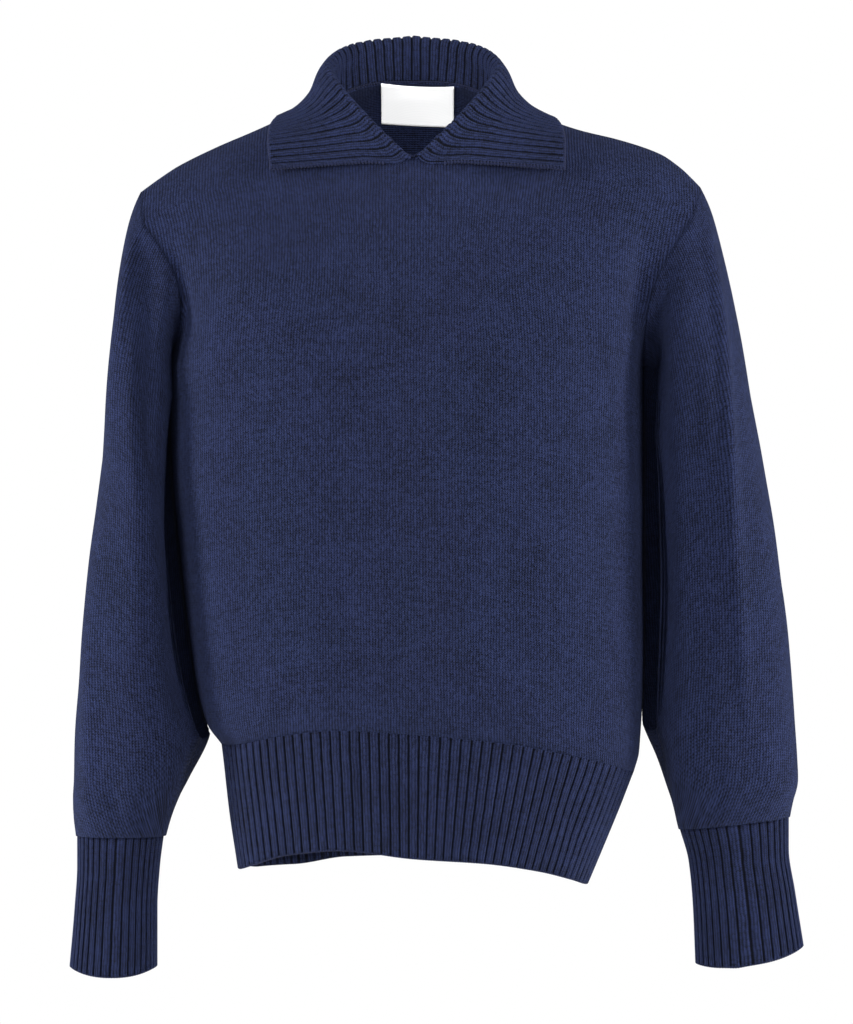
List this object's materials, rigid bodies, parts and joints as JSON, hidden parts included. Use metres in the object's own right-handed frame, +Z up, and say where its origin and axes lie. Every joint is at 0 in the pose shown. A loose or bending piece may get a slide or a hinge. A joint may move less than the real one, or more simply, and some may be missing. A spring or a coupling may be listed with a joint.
{
  "type": "collared sweater",
  "caption": "Navy knit sweater, worn and filled out with no wearer: set-in sleeves, long ribbed cuffs, deep ribbed hem and a wide ribbed collar, open in a small V.",
  "frame": {"origin": "the middle of the neck's base, at the height where the shoulder seams meet the collar; a wearer's shoulders hold the sweater there", "axes": "+Z up the body, -Y the front, +X the wearer's left"},
  "size_m": [0.586, 0.2334, 0.7574],
  "materials": {
    "navy_stockinette": "matte",
    "navy_rib": "matte",
    "white_woven_label": "matte"
  },
  "bodies": {
    "root": {"front": "navy_stockinette", "back": "navy_stockinette", "sleeve_left": "navy_stockinette", "sleeve_right": "navy_stockinette", "cuff_left": "navy_rib", "cuff_right": "navy_rib", "hem_rib_front": "navy_rib", "hem_rib_back": "navy_rib", "collar": "navy_rib", "neck_label": "white_woven_label"}
  },
  "joints": []
}
